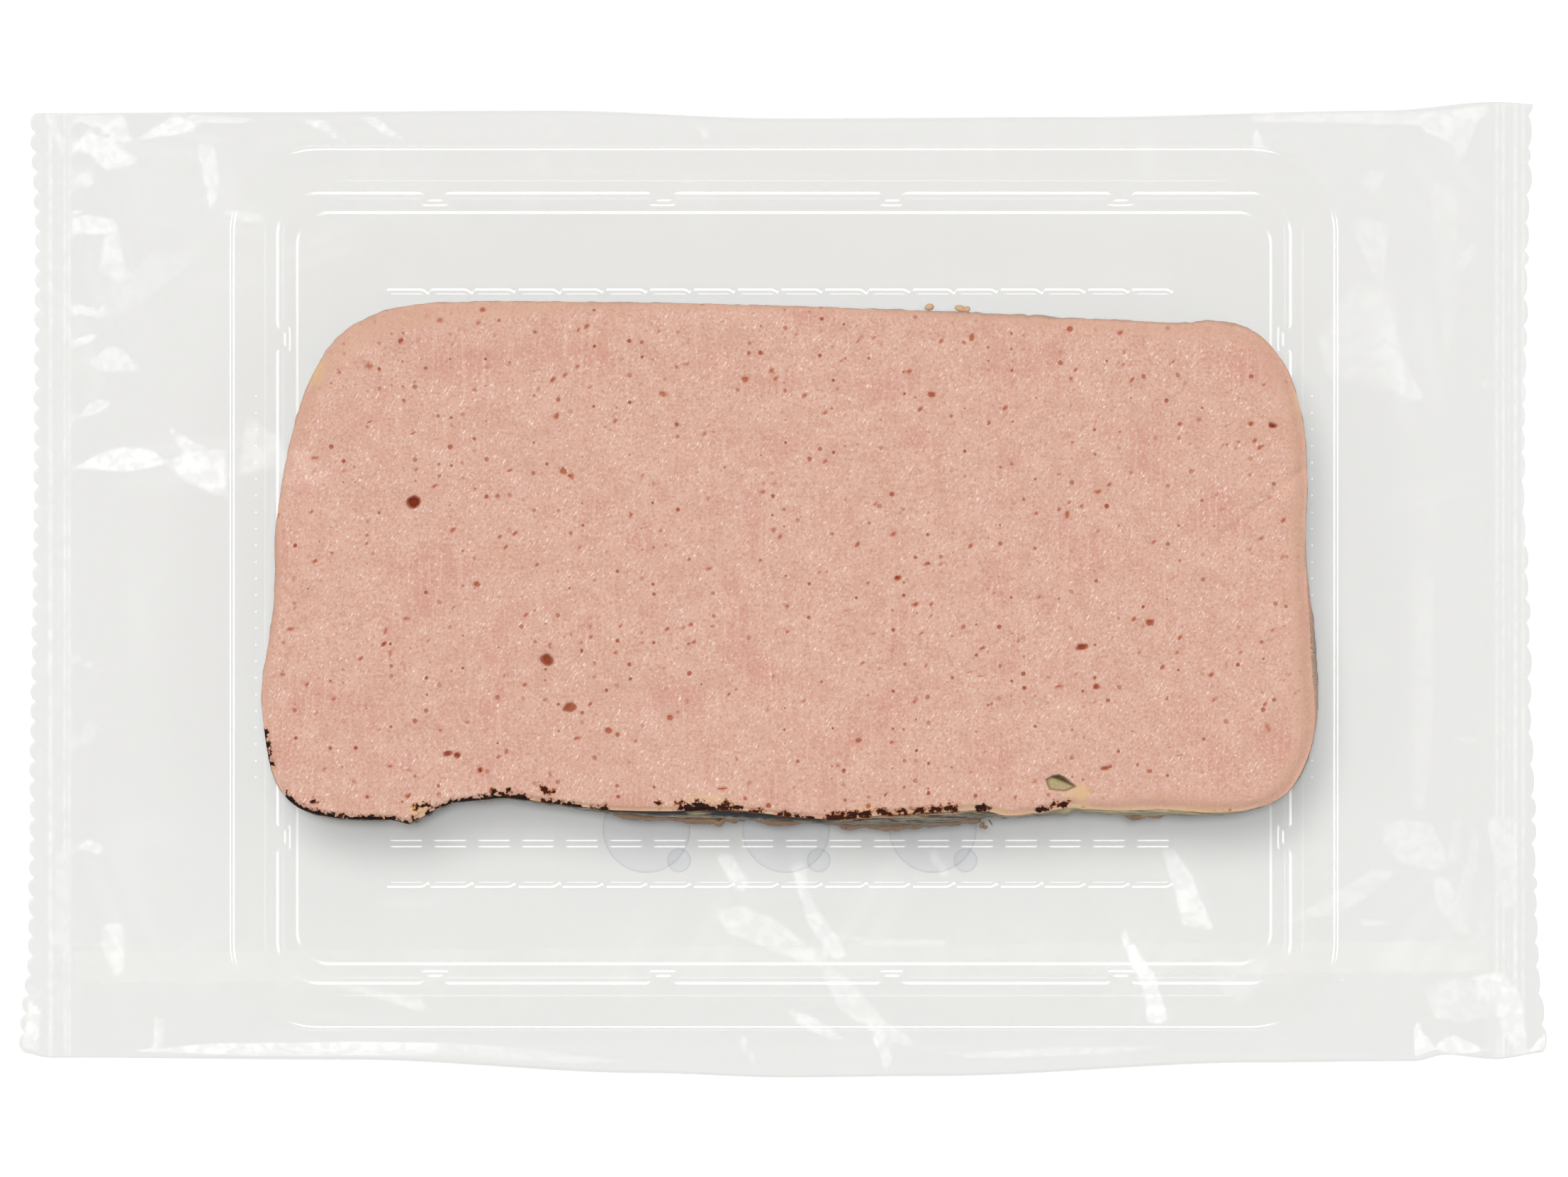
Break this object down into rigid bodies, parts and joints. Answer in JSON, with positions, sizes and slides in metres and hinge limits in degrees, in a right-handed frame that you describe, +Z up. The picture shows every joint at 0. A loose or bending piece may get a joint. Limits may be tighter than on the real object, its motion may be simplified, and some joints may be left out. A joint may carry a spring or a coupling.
{
  "type": "packaged pate slice",
  "caption": "Clear flow-wrap bag lying flat around a thick slice of pate on a shallow clear tray, with crimped end seals and zigzag-cut ends.",
  "frame": {"origin": "on the table, under the middle of the bag's outline", "axes": "+X along the bag towards the right-hand seal of the picture, +Y towards its upper long edge in the picture, +Z up from the table"},
  "size_m": [0.2156, 0.1376, 0.0173],
  "materials": {
    "clear_film": "thin glossy clear film",
    "tray_plastic": "thin glossy clear formed plastic",
    "pate": "moist cut meat paste",
    "film_print": "pale ink on the far side of the film"
  },
  "bodies": {
    "root": {"film_bag": "clear_film"}
  },
  "joints": []
}
